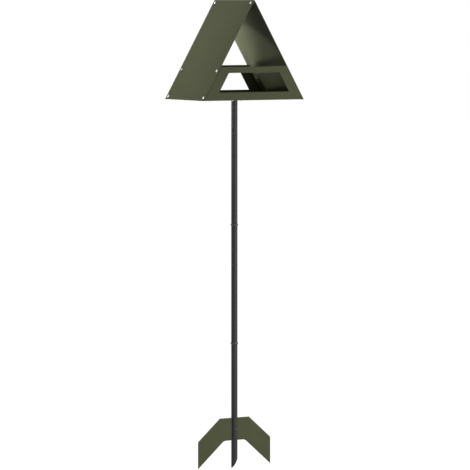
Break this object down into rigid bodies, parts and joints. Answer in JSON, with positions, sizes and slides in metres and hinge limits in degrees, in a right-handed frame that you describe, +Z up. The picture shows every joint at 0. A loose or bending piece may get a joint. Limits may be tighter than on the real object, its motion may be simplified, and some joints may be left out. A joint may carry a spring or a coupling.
{
  "type": "bird feeder",
  "caption": "Freestanding garden bird feeder: triangular sheet-metal house with open gables and windows, on a sectional pole with a ground spike and anchor plate.",
  "frame": {"origin": "on the pole's axis at the soil line, 200 mm above the spike's tip", "axes": "+Z up along the pole, -Y out of the front panel, +X to the right seen from the front"},
  "size_m": [0.45, 0.31, 1.847],
  "materials": {
    "olive_powder_coat": "satin olive-green powder coat",
    "black_powder_coat": "satin black powder coat",
    "black_plastic": "moulded black plastic",
    "zinc_plated_steel": "bright zinc plating",
    "blackened_steel": "blackened steel"
  },
  "bodies": {
    "ground_spike": {"spike_tube": "black_powder_coat", "anchor_plate": "olive_powder_coat", "anchor_bolt": "blackened_steel", "anchor_nut": "blackened_steel", "pole_connector_lower": "black_plastic"},
    "middle_section": {"pole_middle": "black_powder_coat", "pole_connector_upper": "black_plastic"},
    "top_section": {"pole_top": "black_powder_coat"},
    "house": {"pole_mount": "olive_powder_coat", "feed_tray": "olive_powder_coat", "front_panel": "olive_powder_coat", "back_panel": "olive_powder_coat", "roof_panel_left": "olive_powder_coat", "roof_panel_right": "olive_powder_coat", "screw_left_front_low": "zinc_plated_steel", "nut_left_front_low": "zinc_plated_steel", "screw_left_front_high": "zinc_plated_steel", "nut_left_front_high": "zinc_plated_steel", "screw_left_back_low": "zinc_plated_steel", "nut_left_back_low": "zinc_plated_steel", "screw_left_back_high": "zinc_plated_steel", "nut_left_back_high": "zinc_plated_steel", "screw_right_front_low": "zinc_plated_steel", "nut_right_front_low": "zinc_plated_steel", "screw_right_front_high": "zinc_plated_steel", "nut_right_front_high": "zinc_plated_steel", "screw_right_back_low": "zinc_plated_steel", "nut_right_back_low": "zinc_plated_steel", "screw_right_back_high": "zinc_plated_steel", "nut_right_back_high": "zinc_plated_steel", "screw_ridge_front": "zinc_plated_steel", "nut_ridge_front": "zinc_plated_steel", "screw_ridge_back": "zinc_plated_steel", "nut_ridge_back": "zinc_plated_steel", "mount_screw_1": "zinc_plated_steel", "mount_nut_1": "zinc_plated_steel", "mount_screw_2": "zinc_plated_steel", "mount_nut_2": "zinc_plated_steel", "mount_screw_3": "zinc_plated_steel", "mount_nut_3": "zinc_plated_steel", "mount_screw_4": "zinc_plated_steel", "mount_nut_4": "zinc_plated_steel"}
  },
  "joints": [
    {"name": "middle_section_pull", "type": "slide", "parent": "ground_spike", "child": "middle_section", "axis": [0, 0, 1], "range_m": [0, 0.045]},
    {"name": "top_section_turn", "type": "hinge", "parent": "middle_section", "child": "top_section", "pos_m": [0, 0, 0.7682], "axis": [0, 0, 1], "continuous": true},
    {"name": "house_lift", "type": "slide", "parent": "top_section", "child": "house", "axis": [0, 0, 1], "range_m": [0, 0.045]}
  ]
}
